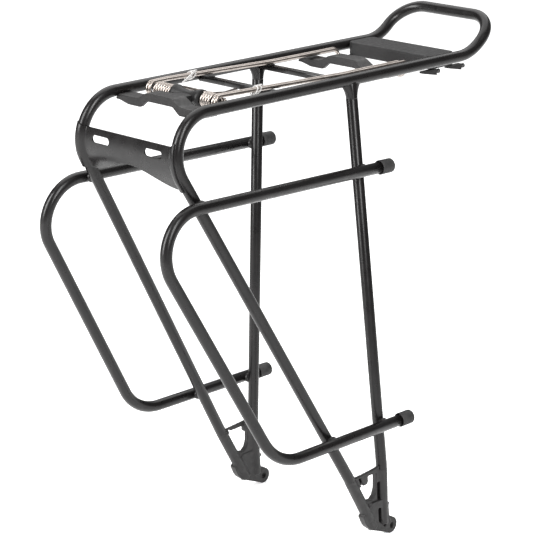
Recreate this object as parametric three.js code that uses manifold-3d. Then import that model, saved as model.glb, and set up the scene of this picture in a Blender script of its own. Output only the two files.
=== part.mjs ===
// Rear luggage rack of a bicycle: a bent-tube frame with two pannier loops, cast
// dropout feet and a sprung wire clamp on the platform.
//
// Millimetres. +X points to the rear of the bicycle, +Y to its right, +Z up. The
// origin is the midpoint between the two dropout bolt holes. "left" is the -Y side.
// Every piece is a mesh of its own. Pieces that touch in the real rack keep JOINT_GAP.
import * as THREE from 'three';
import { mergeVertices } from 'three/addons/utils/BufferGeometryUtils.js';
import Module from 'manifold-3d';

const wasm = await Module();
wasm.setup();

// ---- driving dimensions -------------------------------------------------------
const TUBE_RADIUS = 5;
const TUBE_SIDES = 12;
const JOINT_GAP = 0.3;

// platform: two parallel rails; the legs lean outwards down to a bend, then drop straight
const RAIL_Z = 404.7;
const RAIL_Y = 55.75;
const LEG_SPLAY = 0.0754;
const LEG_BEND_Z = 60;
const LEG_BEND_RADIUS = 40;

// front leg and rail are one bent tube; the corner is where their axes cross
const FRONT_CORNER_X = -248.4;
const FRONT_BEND_RADIUS = 34;
const FRONT_LEG_SLOPE = 0.567;
const RAIL_END_X = 100;

const REAR_LEG_TOP_X = -25.3;
const REAR_LEG_SLOPE = 0.043;

// handle: rails turn up and meet in a cross tube
const HANDLE_RISE_START_X = 129.9;
const HANDLE_TOP_X = 164.4;
const HANDLE_TOP_Z = 432.2;
const HANDLE_RISE_RADIUS = 44;
const HANDLE_CORNER_RADIUS = 27;

// pannier loops, welded to the outside of the legs
const LOOP_OFFSET_Y = 11;
const LOOP_UPPER_REAR = { x: 5, z: 328.1 };
const LOOP_UPPER_FRONT = { x: -277.5, z: 333.8 };
const LOOP_LOWER_FRONT = { x: -147.3, z: 100.5 };
const LOOP_LOWER_REAR = { x: 15, z: 100.5 };
const LOOP_UPPER_RADIUS = 35;
const LOOP_LOWER_RADIUS = 46;
const CAP_RADIUS = 6.2;
const CAP_LENGTH = 15;

// cast dropout feet
const EYELET_Y = 81.7;
const EYELET_RADIUS = 7.5;
const EYELET_THICKNESS = 6;
const EYELET_HOLE_RADIUS = 2.75;
const LEG_END_Z = { front: 19.5, rear: 23 };
const FOOT_STUB_RADIUS = 5;
const FOOT_BEAD_RADIUS = 2.1;
const FOOT_WEB_Y = { inner: 79.2, outer: 84.4 };
const FOOT_STRIP_INNER_Y = 81.8;
const FOOT_POCKET_FLOOR_Y = 80.4;

// front plate, wrapped round the front of the bends
const PLATE_HALF_WIDTH = 56;
const PLATE_WALL_Y = 48;
const PLATE_THICKNESS = 2;
const PLATE_TOP_Z = 381;
const PLATE_ARCH_Z = 357.5;
const PLATE_CORNER_Z = 344.8;
const PLATE_SLOT_Y = 32.2;
const PLATE_SLOT_LENGTH = 21;
const PLATE_SLOT_WIDTH = 6.4;
const PLATE_SLOT_Z = 372.6;
const PLATE_WEB_RADIUS = 35.1;

// crossbars and bridges between the rails
const CROSSBAR_XS = { crossbar_front: -95.6, crossbar_rear: -24.6 };
const CROSSBAR_WIDTH = 7;
const CROSSBAR_HEIGHT = 5;
const BRIDGE_XS = { bridge_front: -190.6, bridge_rear: 22.4 };
const BRIDGE_DEPTH = 15;
const BRIDGE_THICKNESS = 7.3;
const BRIDGE_LIP = 1.2;
const BRIDGE_WALL_DEPTH = 4;
const BRIDGE_TOP_THICKNESS = 2.6;
const BRIDGE_BOSS_HALF_WIDTH = 11;

// closed plate between the rails at the handle
const REAR_PLATE = { x0: 81, x1: 114.9, z0: 396.3, z1: 408.6, frontRadius: 8, rearRadius: 5 };
const HOOK_XS = { front: 72.9, rear: 105.9 };
const HOOK_LENGTH = 18.5;

// sprung clamp
const CLAMP_X = -161.6;
const CLAMP_Z = 404.9;
const SPOOL_CENTRE_Y = -4.2;
const SPOOL_HALF_LENGTH = 16.5;
const SPOOL_FLANGE_RADIUS = 7.5;
const SPOOL_WAIST_RADIUS = 4.7;
const AXLE_RADIUS = 3.2;
const AXLE_HALF_LENGTH = 44;
const WIRE_RADIUS = 1.55;
const COIL_RADIUS = 5.2;
const COIL_WIRE_RADIUS = 1.3;
const COIL_PITCH = 2.95;
const COILS = { left: { startY: 22.3, turns: 4.5 }, right: { startY: 13.9, turns: 6.5 } };
const BOW_WIRES = {
  clamp_wire_outer: { y: 42.7, rearX: 60.5, dropZ: 392.6 },
  clamp_wire_inner: { y: 38.8, rearX: 56.6, dropZ: 396.2 },
};
const WIRE_REST_X = -20;
const WIRE_REST_Z = 406.5;
const WIRE_DROP_LEAN = 5;
const REACTION_WIRE = {
  radius: 1.3,
  route: [[-152, 13.5, 408], [-152, -22, 408], [-133, -15.6, 404.5], [-101, 3.8, 399.8]],
  bends: [4, 12],
};
const TIE_X = { left: -121, right: -119 };
const TIE_BAND = { radius: 1.1, clearance: 0.5 };

// ---- materials ------------------------------------------------------------------
const blackPaint = new THREE.MeshStandardMaterial({ color: 0x2f2f31, roughness: 0.42, metalness: 0.35 });
const castBlack = new THREE.MeshStandardMaterial({ color: 0x343436, roughness: 0.5, metalness: 0.35 });
const blackPlastic = new THREE.MeshStandardMaterial({ color: 0x29292b, roughness: 0.55, metalness: 0 });
const blackRubber = new THREE.MeshStandardMaterial({ color: 0x262628, roughness: 0.75, metalness: 0 });
const springSteel = new THREE.MeshStandardMaterial({ color: 0xb9ada2, roughness: 0.3, metalness: 0.9 });
const clearPlastic = new THREE.MeshStandardMaterial({ color: 0xd9d6d2, roughness: 0.35, metalness: 0 });

const rack = new THREE.Group();
rack.name = 'rear_rack';

function addPiece(name, geometry, material) {
  const mesh = new THREE.Mesh(geometry, material.clone());
  mesh.name = name;
  rack.add(mesh);
  return mesh;
}

// ---- paths ------------------------------------------------------------------------

// A path through given points, one tube section at each point, mitred at the corners.
class SectionPath extends THREE.Curve {
  constructor(points) {
    super();
    this.points = points;
  }

  get steps() {
    return this.points.length - 1;
  }

  getUtoTmapping(u) {
    return u;
  }

  getPoint(t, target = new THREE.Vector3()) {
    const at = t * this.steps;
    const i = Math.min(Math.floor(at), this.steps - 1);
    return target.lerpVectors(this.points[i], this.points[i + 1], at - i);
  }

  getTangent(t, target = new THREE.Vector3()) {
    const i = Math.round(t * this.steps);
    const before = this.points[Math.max(i - 1, 0)];
    const here = this.points[i];
    const after = this.points[Math.min(i + 1, this.steps)];
    const incoming = here.clone().sub(before).normalize();
    const outgoing = after.clone().sub(here).normalize();
    return target.addVectors(incoming, outgoing).normalize();
  }
}

// Replaces each inner corner of a polyline by an arc of the given radius.
function roundCorners(corners, radii, stepDegrees = 12) {
  const points = [corners[0].clone()];
  for (let i = 1; i < corners.length - 1; i += 1) {
    const corner = corners[i];
    const toLast = corners[i - 1].clone().sub(corner).normalize();
    const toNext = corners[i + 1].clone().sub(corner).normalize();
    const halfAngle = toLast.angleTo(toNext) / 2;
    const radius = radii[i - 1];
    const start = corner.clone().addScaledVector(toLast, radius / Math.tan(halfAngle));
    const bisector = toLast.clone().add(toNext).normalize();
    const centre = corner.clone().addScaledVector(bisector, radius / Math.sin(halfAngle));
    const sweep = Math.PI - 2 * halfAngle;
    const steps = Math.max(1, Math.round(THREE.MathUtils.radToDeg(sweep) / stepDegrees));
    const spoke = start.clone().sub(centre);
    const turnAxis = toLast.clone().negate().cross(toNext).normalize();
    for (let k = 0; k <= steps; k += 1) {
      const turned = spoke.clone().applyAxisAngle(turnAxis, (sweep * k) / steps);
      points.push(centre.clone().add(turned));
    }
  }
  points.push(corners[corners.length - 1].clone());
  return points;
}

function polygonShape(radius, sides) {
  const points = [];
  for (let i = 0; i < sides; i += 1) {
    const angle = (2 * Math.PI * (i + 0.5)) / sides;
    points.push(new THREE.Vector2(radius * Math.cos(angle), radius * Math.sin(angle)));
  }
  return new THREE.Shape(points);
}

function tubeGeometry(points, radius = TUBE_RADIUS, sides = TUBE_SIDES) {
  const path = new SectionPath(points);
  return new THREE.ExtrudeGeometry(polygonShape(radius, sides), {
    steps: path.steps,
    extrudePath: path,
    bevelEnabled: false,
  });
}

// ---- solids -----------------------------------------------------------------------
function toSolid(geometry) {
  const bare = geometry.index ? geometry.toNonIndexed() : geometry.clone();
  bare.deleteAttribute('normal');
  bare.deleteAttribute('uv');
  const merged = mergeVertices(bare, 1e-4);
  return new wasm.Manifold(new wasm.Mesh({
    numProp: 3,
    vertProperties: new Float32Array(merged.attributes.position.array),
    triVerts: new Uint32Array(merged.index.array),
  }));
}

function toGeometry(solid) {
  const mesh = solid.getMesh();
  const geometry = new THREE.BufferGeometry();
  geometry.setAttribute('position', new THREE.BufferAttribute(mesh.vertProperties, 3));
  geometry.setIndex(new THREE.BufferAttribute(mesh.triVerts, 1));
  geometry.computeVertexNormals();
  return geometry;
}

function cylinderBetween(from, to, radius, sides = 20) {
  const axis = to.clone().sub(from);
  const geometry = new THREE.CylinderGeometry(radius, radius, axis.length(), sides);
  const turn = new THREE.Quaternion().setFromUnitVectors(new THREE.Vector3(0, 1, 0), axis.clone().normalize());
  const middle = from.clone().lerp(to, 0.5);
  return geometry.applyMatrix4(new THREE.Matrix4().compose(middle, turn, new THREE.Vector3(1, 1, 1)));
}

// Extrudes a shape drawn as (x, z) along Y, from y0 to y1.
function prismAlongY(shape, y0, y1, curveSegments = 6) {
  const geometry = new THREE.ExtrudeGeometry(shape, { depth: y1 - y0, bevelEnabled: false, curveSegments });
  geometry.rotateX(Math.PI / 2);
  return geometry.translate(0, y1, 0);
}

// Extrudes a shape drawn as (y, z) along X, from x0 to x1.
function prismAlongX(shape, x0, x1, curveSegments = 6) {
  const geometry = new THREE.ExtrudeGeometry(shape, { depth: x1 - x0, bevelEnabled: false, curveSegments });
  const basis = new THREE.Matrix4().makeBasis(
    new THREE.Vector3(0, 1, 0),
    new THREE.Vector3(0, 0, 1),
    new THREE.Vector3(1, 0, 0),
  );
  return geometry.applyMatrix4(basis).translate(x0, 0, 0);
}

function shapeFrom(pairs) {
  return new THREE.Shape(pairs.map(([u, v]) => new THREE.Vector2(u, v)));
}

// ---- where the legs run -------------------------------------------------------------
const legY = (z) => RAIL_Y + LEG_SPLAY * (RAIL_Z - Math.max(z, LEG_BEND_Z));
const frontLegX = (z) => FRONT_CORNER_X + FRONT_LEG_SLOPE * (RAIL_Z - z);
const rearLegX = (z) => REAR_LEG_TOP_X + REAR_LEG_SLOPE * (RAIL_Z - z);
const frontLegPoint = (side, z) => new THREE.Vector3(frontLegX(z), side * legY(z), z);
const rearLegPoint = (side, z) => new THREE.Vector3(rearLegX(z), side * legY(z), z);

const SIDES = [['left', -1], ['right', 1]];

// ---- bent tubes -----------------------------------------------------------------------
function sideTube(side) {
  const corners = [
    frontLegPoint(side, LEG_END_Z.front),
    frontLegPoint(side, LEG_BEND_Z),
    new THREE.Vector3(FRONT_CORNER_X, side * RAIL_Y, RAIL_Z),
    new THREE.Vector3(RAIL_END_X, side * RAIL_Y, RAIL_Z),
  ];
  return tubeGeometry(roundCorners(corners, [LEG_BEND_RADIUS, FRONT_BEND_RADIUS]));
}

function handleTube() {
  const start = RAIL_END_X + JOINT_GAP;
  const corners = [
    new THREE.Vector3(start, -RAIL_Y, RAIL_Z),
    new THREE.Vector3(HANDLE_RISE_START_X, -RAIL_Y, RAIL_Z),
    new THREE.Vector3(HANDLE_TOP_X, -RAIL_Y, HANDLE_TOP_Z),
    new THREE.Vector3(HANDLE_TOP_X, RAIL_Y, HANDLE_TOP_Z),
    new THREE.Vector3(HANDLE_RISE_START_X, RAIL_Y, RAIL_Z),
    new THREE.Vector3(start, RAIL_Y, RAIL_Z),
  ];
  const radii = [HANDLE_RISE_RADIUS, HANDLE_CORNER_RADIUS, HANDLE_CORNER_RADIUS, HANDLE_RISE_RADIUS];
  return tubeGeometry(roundCorners(corners, radii, 13));
}

// The rear leg stops under the rail, cut to the rail's curve.
function rearLeg(side) {
  const route = [LEG_END_Z.rear, LEG_BEND_Z, RAIL_Z].map((z) => rearLegPoint(side, z));
  const leg = toSolid(tubeGeometry(roundCorners(route, [LEG_BEND_RADIUS])));
  const railRelief = cylinderBetween(
    new THREE.Vector3(REAR_LEG_TOP_X - 20, side * RAIL_Y, RAIL_Z),
    new THREE.Vector3(REAR_LEG_TOP_X + 20, side * RAIL_Y, RAIL_Z),
    TUBE_RADIUS + JOINT_GAP,
  );
  const above = new THREE.BoxGeometry(40, 40, 20).translate(REAR_LEG_TOP_X, side * RAIL_Y, RAIL_Z + 10);
  return toGeometry(leg.subtract(toSolid(railRelief)).subtract(toSolid(above)));
}

const loopPoint = (side, { x, z }) => new THREE.Vector3(x, side * (legY(z) + LOOP_OFFSET_Y), z);

function pannierLoop(side) {
  const corners = [LOOP_UPPER_REAR, LOOP_UPPER_FRONT, LOOP_LOWER_FRONT, LOOP_LOWER_REAR];
  const points = corners.map((corner) => loopPoint(side, corner));
  return tubeGeometry(roundCorners(points, [LOOP_UPPER_RADIUS, LOOP_LOWER_RADIUS]));
}

// A cup-shaped cap pushed over the rear end of a pannier rail.
function endCap(side, railEnd, inner) {
  const end = loopPoint(side, railEnd);
  const along = end.clone().sub(loopPoint(side, inner)).normalize();
  const bore = TUBE_RADIUS + JOINT_GAP;
  const floor = 2.4;
  const profile = [
    [0, -JOINT_GAP],
    [bore, -JOINT_GAP],
    [bore, floor - CAP_LENGTH],
    [CAP_RADIUS, floor - CAP_LENGTH],
    [CAP_RADIUS, floor - 1.6],
    [CAP_RADIUS - 1.6, floor],
    [0, floor],
  ].map(([r, h]) => new THREE.Vector2(r, h));
  const cap = new THREE.LatheGeometry(profile, 16);
  const turn = new THREE.Quaternion().setFromUnitVectors(new THREE.Vector3(0, 1, 0), along);
  const place = new THREE.Matrix4().compose(
    end.clone().addScaledVector(along, 2 * JOINT_GAP),
    turn,
    new THREE.Vector3(1, 1, 1),
  );
  return cap.applyMatrix4(place);
}

for (const [label, side] of SIDES) {
  addPiece(`side_tube_${label}`, sideTube(side), blackPaint);
  addPiece(`rear_leg_${label}`, rearLeg(side), blackPaint);
  addPiece(`pannier_loop_${label}`, pannierLoop(side), blackPaint);
  addPiece(`end_cap_upper_${label}`, endCap(side, LOOP_UPPER_REAR, LOOP_UPPER_FRONT), blackRubber);
  addPiece(`end_cap_lower_${label}`, endCap(side, LOOP_LOWER_REAR, LOOP_LOWER_FRONT), blackRubber);
}
addPiece('handle_tube', handleTube(), blackPaint);

// ---- dropout feet ---------------------------------------------------------------------
// Both legs end on stubs of the casting. A web with a window joins them above the eyelet, closed
// at the top by a thin strip. The two castings differ only in the lug under that strip.
function footBodyShape() {
  const shape = new THREE.Shape();
  shape.moveTo(-37.2, 18.4);
  shape.lineTo(-34.8, 13);
  shape.quadraticCurveTo(-31, 4, -21, 1);
  shape.lineTo(-3, -6.6);
  shape.lineTo(2, -3);
  shape.lineTo(-3.5, 10);
  shape.lineTo(-4.5, 23);
  shape.lineTo(-12, 29);
  shape.lineTo(-26, 29);
  return shape;
}

const frontWebEdge = (z) => frontLegX(z) + 4.5;
const rearWebEdge = (z) => rearLegX(z) - 3.5;

function footWebShape() {
  return shapeFrom([
    [rearWebEdge(57.5), 57.5],
    [rearWebEdge(23), 23],
    [frontWebEdge(23), 23],
    [frontWebEdge(36), 36],
    [-29.4, 31.9],
    [-25, 31.4],
    [-21.6, 34.6],
    [-19.8, 40],
    [-19.6, 57.5],
  ]);
}

function footStripShape() {
  return shapeFrom([
    [frontWebEdge(54.9), 54.9],
    [frontWebEdge(58), 58],
    [-23, 60],
    [rearLegX(61) - 5.6, 61.4],
    [rearLegX(57) - 5.6, 57],
    [-19, 55.8],
  ]);
}

const FOOT_LUG_SHAPES = {
  left: [
    [frontWebEdge(47.5), 47.5],
    [frontWebEdge(57), 57],
    [-30.5, 57],
    [-30, 50.5],
    [-31.6, 48.2],
  ],
  right: [
    [-23.6, 51.5],
    [-22.4, 50],
    [-18.5, 50],
    [-18.5, 60],
    [-23.6, 58],
  ],
};

// Narrow pockets beside the rear stub, open to the outer side.
const FOOT_POCKET_SHAPES = [
  [[-18.6, 46], [-14.8, 46], [-14, 29], [-17.8, 29]],
  [[-18, 21.5], [-14.4, 21.5], [-13.6, 10], [-7, 3], [-9.5, 1.4], [-17.2, 9]],
  [[-42.6, 56.5], [-40, 56.5], [-36, 47.8], [-38.4, 47.8]],
];

function foot(label, side) {
  const slab = (shape, inner, outer) => {
    const span = side < 0 ? [-outer, -inner] : [inner, outer];
    return toSolid(prismAlongY(shape, ...span));
  };
  const legCentreY = legY(0);
  const eyeletHalf = EYELET_THICKNESS / 2;
  const eyelet = cylinderBetween(
    new THREE.Vector3(0, side * (EYELET_Y - eyeletHalf), 0),
    new THREE.Vector3(0, side * (EYELET_Y + eyeletHalf), 0),
    EYELET_RADIUS,
    28,
  );
  let casting = slab(footBodyShape(), EYELET_Y - eyeletHalf, legCentreY + 4)
    .add(slab(footWebShape(), FOOT_WEB_Y.inner, FOOT_WEB_Y.outer))
    .add(slab(footStripShape(), FOOT_STRIP_INNER_Y, FOOT_WEB_Y.outer))
    .add(slab(shapeFrom(FOOT_LUG_SHAPES[label]), FOOT_WEB_Y.inner, FOOT_WEB_Y.outer))
    .add(toSolid(eyelet));
  for (const pocket of FOOT_POCKET_SHAPES) {
    casting = casting.subtract(slab(shapeFrom(pocket), FOOT_POCKET_FLOOR_Y, FOOT_WEB_Y.outer + 5));
  }
  const legs = [[frontLegPoint, LEG_END_Z.front, -1], [rearLegPoint, LEG_END_Z.rear, 1]];
  for (const [legPoint, endZ, outward] of legs) {
    const top = legPoint(side, endZ - JOINT_GAP);
    const stub = cylinderBetween(legPoint(side, 4), top, FOOT_STUB_RADIUS, 20);
    const bead = legPoint(side, endZ - 1);
    bead.x += outward * (FOOT_STUB_RADIUS - 0.8);
    casting = casting.add(toSolid(stub)).add(toSolid(cylinderBetween(
      bead.clone().setY(side * (legCentreY - 3)),
      bead.clone().setY(side * (legCentreY + 3)),
      FOOT_BEAD_RADIUS,
      12,
    )));
  }
  for (const [legPoint, endZ] of legs) {
    const clearance = cylinderBetween(
      legPoint(side, endZ - JOINT_GAP),
      legPoint(side, LEG_BEND_Z),
      TUBE_RADIUS + JOINT_GAP,
      24,
    );
    casting = casting.subtract(toSolid(clearance));
  }
  const boltHole = cylinderBetween(
    new THREE.Vector3(0, side * (EYELET_Y - 20), 0),
    new THREE.Vector3(0, side * (EYELET_Y + 20), 0),
    EYELET_HOLE_RADIUS,
    24,
  );
  return toGeometry(casting.subtract(toSolid(boltHole)));
}

for (const [label, side] of SIDES) {
  addPiece(`dropout_foot_${label}`, foot(label, side), castBlack);
}

// ---- front plate ------------------------------------------------------------------------
// A sheet bent round the front of both bends, running on down the legs.
const legDirection = new THREE.Vector3(FRONT_LEG_SLOPE, 0, -1).normalize();
const bendTurn = Math.PI - Math.acos(legDirection.x);
const BEND_CENTRE_X = FRONT_CORNER_X + FRONT_BEND_RADIUS * Math.tan(bendTurn / 2);
const BEND_CENTRE_Z = RAIL_Z - FRONT_BEND_RADIUS;

// Section of a sheet bent round the bend axis: flats of 15 degrees, then down along the leg.
function sheetSection(innerRadius, outerRadius) {
  const lowest = Math.atan(FRONT_LEG_SLOPE);
  const drop = 30;
  const edge = (radius) => {
    const corner = radius / Math.cos(THREE.MathUtils.degToRad(7.5));
    const points = [37.5, 22.5, 7.5, -7.5, -22.5].map((degrees) => {
      const angle = THREE.MathUtils.degToRad(degrees);
      return [BEND_CENTRE_X - corner * Math.cos(angle), BEND_CENTRE_Z + corner * Math.sin(angle)];
    });
    const tangentX = BEND_CENTRE_X - corner * Math.cos(lowest);
    const tangentZ = BEND_CENTRE_Z - corner * Math.sin(lowest);
    points.push([tangentX, tangentZ]);
    points.push([tangentX + FRONT_LEG_SLOPE * drop, tangentZ - drop]);
    return points;
  };
  return shapeFrom([...edge(innerRadius), ...edge(outerRadius).reverse()]);
}

function slotPath(centreY) {
  const half = PLATE_SLOT_LENGTH / 2 - PLATE_SLOT_WIDTH / 2;
  const radius = PLATE_SLOT_WIDTH / 2;
  const path = new THREE.Path();
  path.absarc(centreY + half, PLATE_SLOT_Z, radius, -Math.PI / 2, Math.PI / 2, false);
  path.absarc(centreY - half, PLATE_SLOT_Z, radius, Math.PI / 2, (3 * Math.PI) / 2, false);
  return path;
}

function plateOutline() {
  const lowHalfWidth = PLATE_HALF_WIDTH + LEG_SPLAY * (PLATE_TOP_Z - PLATE_CORNER_Z);
  const arch = [
    [-44, PLATE_CORNER_Z + 0.6],
    [-29, PLATE_CORNER_Z + 4.8],
    [-15, PLATE_ARCH_Z - 2.2],
    [0, PLATE_ARCH_Z],
    [15, PLATE_ARCH_Z - 2.2],
    [29, PLATE_CORNER_Z + 4.8],
    [44, PLATE_CORNER_Z + 0.6],
    [lowHalfWidth, PLATE_CORNER_Z],
  ].map(([y, z]) => new THREE.Vector2(y, z));
  const outline = new THREE.Shape();
  outline.moveTo(-PLATE_HALF_WIDTH, PLATE_TOP_Z);
  outline.lineTo(-lowHalfWidth, PLATE_CORNER_Z);
  outline.splineThru(arch);
  outline.lineTo(PLATE_HALF_WIDTH, PLATE_TOP_Z);
  outline.holes.push(slotPath(-PLATE_SLOT_Y), slotPath(PLATE_SLOT_Y));
  return outline;
}

// The middle of the sheet sits back between the tubes; a wall steps out at each side to a
// flange that wraps over the front of the tube.
function frontPlate() {
  const webRadius = PLATE_WEB_RADIUS;
  const flangeRadius = FRONT_BEND_RADIUS + TUBE_RADIUS + JOINT_GAP;
  const wallEnd = PLATE_WALL_Y + PLATE_THICKNESS;
  const beyond = PLATE_HALF_WIDTH + 6;
  const web = sheetSection(webRadius, webRadius + PLATE_THICKNESS);
  const wall = sheetSection(webRadius, flangeRadius + PLATE_THICKNESS);
  const flange = sheetSection(flangeRadius, flangeRadius + PLATE_THICKNESS);
  let sheet = toSolid(prismAlongY(web, -wallEnd, wallEnd));
  for (const side of [-1, 1]) {
    const across = (inner, outer) => (side < 0 ? [-outer, -inner] : [inner, outer]);
    sheet = sheet.add(toSolid(prismAlongY(wall, ...across(PLATE_WALL_Y, wallEnd))));
    sheet = sheet.add(toSolid(prismAlongY(flange, ...across(PLATE_WALL_Y, beyond))));
  }
  const cutter = toSolid(prismAlongX(plateOutline(), BEND_CENTRE_X - 60, BEND_CENTRE_X, 3));
  return toGeometry(sheet.intersect(cutter));
}

addPiece('front_plate', frontPlate(), blackPaint);

// ---- crossbars, bridges and rear plate ----------------------------------------------------
const railInnerY = RAIL_Y - TUBE_RADIUS - JOINT_GAP;
const BRIDGE_CREST_Z = RAIL_Z + 4.2;

// A flat bar with a low pad at each end, on which the clamp wires rest.
function crossbar(centreX) {
  const top = RAIL_Z - 0.6;
  const bottom = top - CROSSBAR_HEIGHT;
  const chamfer = 1.4;
  const half = CROSSBAR_WIDTH / 2;
  const section = shapeFrom([
    [-half, bottom + chamfer],
    [-half + chamfer, bottom],
    [half - chamfer, bottom],
    [half, bottom + chamfer],
    [half, top - chamfer],
    [half - chamfer, top],
    [-half + chamfer, top],
    [-half, top - chamfer],
  ]);
  const bar = toSolid(prismAlongY(section, -railInnerY, railInnerY).translate(centreX, 0, 0));
  const padTop = WIRE_REST_Z - WIRE_RADIUS - JOINT_GAP;
  const pads = [-1, 1].map((side) => {
    const pad = new THREE.BoxGeometry(CROSSBAR_WIDTH - 2, 12, padTop - bottom - 2);
    return toSolid(pad.translate(centreX, side * 43.5, (padTop + bottom + 2) / 2));
  });
  return toGeometry(bar.add(pads[0]).add(pads[1]));
}

for (const [name, centreX] of Object.entries(CROSSBAR_XS)) {
  addPiece(name, crossbar(centreX), blackPaint);
}

// A stepped bar: low at both rails, where it reaches under them, and raised between.
function bridgeSection(thickness) {
  const low = RAIL_Z - 1.8;
  const underRail = RAIL_Z - TUBE_RADIUS - JOINT_GAP;
  const halfProfile = [
    [16, BRIDGE_CREST_Z],
    [18.5, BRIDGE_CREST_Z - 1],
    [25.5, low],
    [railInnerY, low],
    [railInnerY, underRail],
    [RAIL_Y - 2, underRail],
    [RAIL_Y - 2, underRail - BRIDGE_LIP],
    [railInnerY - 1, underRail - BRIDGE_LIP],
    [38, low - thickness],
    [23.5, low - thickness],
    [16, BRIDGE_CREST_Z - thickness],
  ];
  const mirrored = halfProfile.map(([y, z]) => [-y, z]).reverse();
  return shapeFrom([...halfProfile, ...mirrored].reverse());
}

// A deep wall along the front edge, a thin top behind it and a solid boss in the middle.
function bridge(frontX) {
  const backX = frontX + BRIDGE_DEPTH;
  const boss = shapeFrom([
    [-BRIDGE_BOSS_HALF_WIDTH, BRIDGE_CREST_Z - BRIDGE_THICKNESS],
    [BRIDGE_BOSS_HALF_WIDTH, BRIDGE_CREST_Z - BRIDGE_THICKNESS],
    [BRIDGE_BOSS_HALF_WIDTH, BRIDGE_CREST_Z - 1],
    [-BRIDGE_BOSS_HALF_WIDTH, BRIDGE_CREST_Z - 1],
  ]);
  const wall = prismAlongX(bridgeSection(BRIDGE_THICKNESS), frontX, frontX + BRIDGE_WALL_DEPTH);
  const top = prismAlongX(bridgeSection(BRIDGE_TOP_THICKNESS), frontX, backX);
  return toGeometry(toSolid(wall).add(toSolid(top)).add(toSolid(prismAlongX(boss, frontX, backX))));
}

for (const [name, frontX] of Object.entries(BRIDGE_XS)) {
  addPiece(name, bridge(frontX), castBlack);
}

function rearPlate() {
  const { x0, x1, z0, z1, frontRadius, rearRadius } = REAR_PLATE;
  const halfY = railInnerY - 0.2;
  const plan = new THREE.Shape();
  plan.moveTo(x0 + frontRadius, -halfY);
  plan.lineTo(x1 - rearRadius, -halfY);
  plan.quadraticCurveTo(x1, -halfY, x1, -halfY + rearRadius);
  plan.lineTo(x1, halfY - rearRadius);
  plan.quadraticCurveTo(x1, halfY, x1 - rearRadius, halfY);
  plan.lineTo(x0 + frontRadius, halfY);
  plan.quadraticCurveTo(x0, halfY, x0, halfY - frontRadius);
  plan.lineTo(x0, -halfY + frontRadius);
  plan.quadraticCurveTo(x0, -halfY, x0 + frontRadius, -halfY);
  const bevel = 1.2;
  const plate = new THREE.ExtrudeGeometry(plan, {
    depth: z1 - z0 - 2 * bevel,
    bevelEnabled: true,
    bevelThickness: bevel,
    bevelSize: bevel,
    bevelOffset: -bevel,
    bevelSegments: 1,
    curveSegments: 4,
  });
  return plate.translate(0, 0, z0 + bevel);
}

addPiece('rear_plate', rearPlate(), blackPlastic);

// Strap hooks on the inner side of each rail, each with a pin at its rear end.
for (const [label, side] of SIDES) {
  for (const [place, frontX] of Object.entries(HOOK_XS)) {
    const top = REAR_PLATE.z0 - JOINT_GAP;
    const rearX = frontX + HOOK_LENGTH;
    const fin = shapeFrom([
      [frontX, top - 1.8],
      [rearX, top - 5.6],
      [rearX, top],
      [frontX, top],
    ]);
    const across = side < 0 ? [-50.2, -46] : [46, 50.2];
    addPiece(`strap_hook_${place}_${label}`, prismAlongY(fin, ...across), blackPlastic);
    const pinY = side * 48.1;
    const pin = cylinderBetween(
      new THREE.Vector3(rearX + JOINT_GAP, pinY, top - 2.6),
      new THREE.Vector3(rearX + JOINT_GAP + 4.6, pinY, top - 2.6),
      2.1,
      12,
    );
    addPiece(`hook_pin_${place}_${label}`, pin, castBlack);
  }
}

// ---- sprung clamp -------------------------------------------------------------------------
// Spool and axle are fixed; coils, wires and ties turn about the axle.
function spool() {
  const bore = AXLE_RADIUS + JOINT_GAP;
  const half = SPOOL_HALF_LENGTH;
  const profile = [
    [bore, -half],
    [SPOOL_FLANGE_RADIUS, -half],
    [SPOOL_FLANGE_RADIUS, -half + 4],
    [SPOOL_WAIST_RADIUS + 1, -half + 8],
    [SPOOL_WAIST_RADIUS, 0],
    [SPOOL_WAIST_RADIUS + 1, half - 8],
    [SPOOL_FLANGE_RADIUS, half - 4],
    [SPOOL_FLANGE_RADIUS, half],
    [bore, half],
    [bore, -half],
  ].map(([r, y]) => new THREE.Vector2(r, y));
  const barrel = toSolid(new THREE.LatheGeometry(profile, 20).translate(CLAMP_X, SPOOL_CENTRE_Y, CLAMP_Z));
  const neckFront = BRIDGE_XS.bridge_front + BRIDGE_DEPTH + JOINT_GAP;
  const neckRear = CLAMP_X - bore - 0.8;
  const neck = new THREE.BoxGeometry(neckRear - neckFront, 18, 6);
  neck.translate((neckFront + neckRear) / 2, SPOOL_CENTRE_Y, CLAMP_Z - 0.4);
  const keel = new THREE.BoxGeometry(6, 2 * half - 6, 3.2);
  keel.translate(CLAMP_X, SPOOL_CENTRE_Y, CLAMP_Z - bore - 2.2);
  return toGeometry(barrel.add(toSolid(neck)).add(toSolid(keel)));
}

addPiece('clamp_spool', spool(), blackPlastic);
addPiece('clamp_axle', cylinderBetween(
  new THREE.Vector3(CLAMP_X, -AXLE_HALF_LENGTH, CLAMP_Z),
  new THREE.Vector3(CLAMP_X, AXLE_HALF_LENGTH, CLAMP_Z),
  AXLE_RADIUS,
  16,
), castBlack);

function coil(label, side) {
  const { startY, turns } = COILS[label];
  const stepsPerTurn = 12;
  const points = [];
  for (let i = 0; i <= turns * stepsPerTurn; i += 1) {
    const wound = i / stepsPerTurn;
    const angle = side * 2 * Math.PI * wound + Math.PI / 2;
    points.push(new THREE.Vector3(
      CLAMP_X + COIL_RADIUS * Math.cos(angle),
      side * (startY + COIL_PITCH * wound),
      CLAMP_Z + COIL_RADIUS * Math.sin(angle),
    ));
  }
  return tubeGeometry(points, COIL_WIRE_RADIUS, 6);
}

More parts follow.
